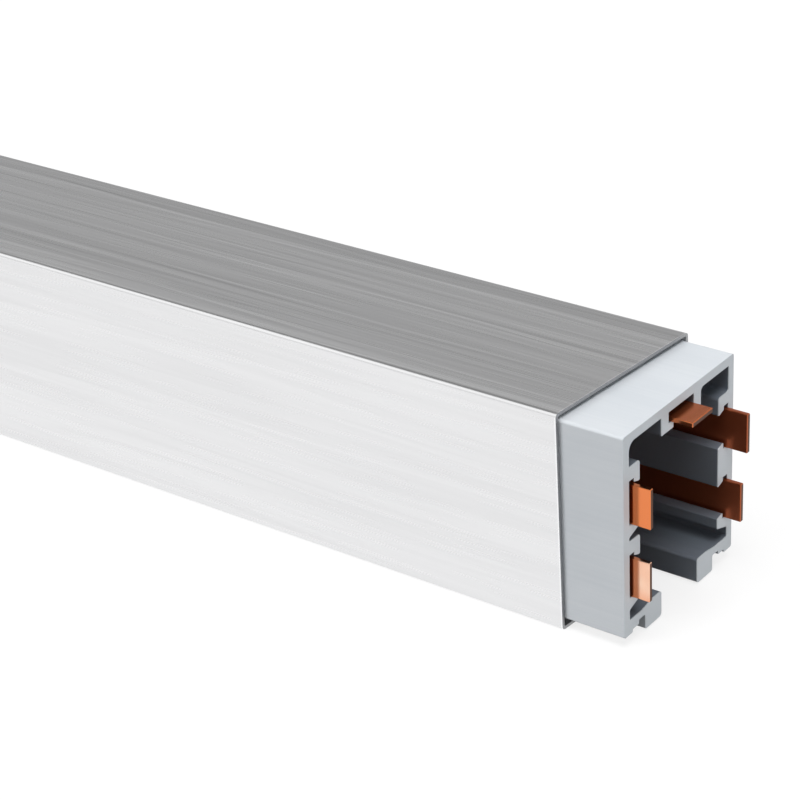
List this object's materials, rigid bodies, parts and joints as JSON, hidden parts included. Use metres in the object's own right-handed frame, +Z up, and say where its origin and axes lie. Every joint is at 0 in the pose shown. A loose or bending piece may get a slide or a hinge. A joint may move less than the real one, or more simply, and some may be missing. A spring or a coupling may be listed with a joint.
{
  "type": "enclosed bus bar section",
  "caption": "Straight enclosed bus bar section: brushed aluminium casing round a slotted insulating profile, with flat copper conductors that project at both ends.",
  "frame": {"origin": "on the resting plane, under the middle of the bar's length and width", "axes": "+X along the bar; +Y to the side whose two conductors share one solid holder block; +Z up, with the tap-off slot facing down"},
  "size_m": [1.0172, 0.0742, 0.0824],
  "materials": {
    "casing_aluminium": "brushed lengthwise",
    "profile_pvc": "satin, pale blue-grey",
    "conductor_copper": "bright drawn copper"
  },
  "bodies": {
    "root": {"casing": "casing_aluminium", "insulating_profile": "profile_pvc", "conductor_top": "conductor_copper", "conductor_front_upper": "conductor_copper", "conductor_front_lower": "conductor_copper", "conductor_back_upper": "conductor_copper", "conductor_back_lower": "conductor_copper"}
  },
  "joints": []
}
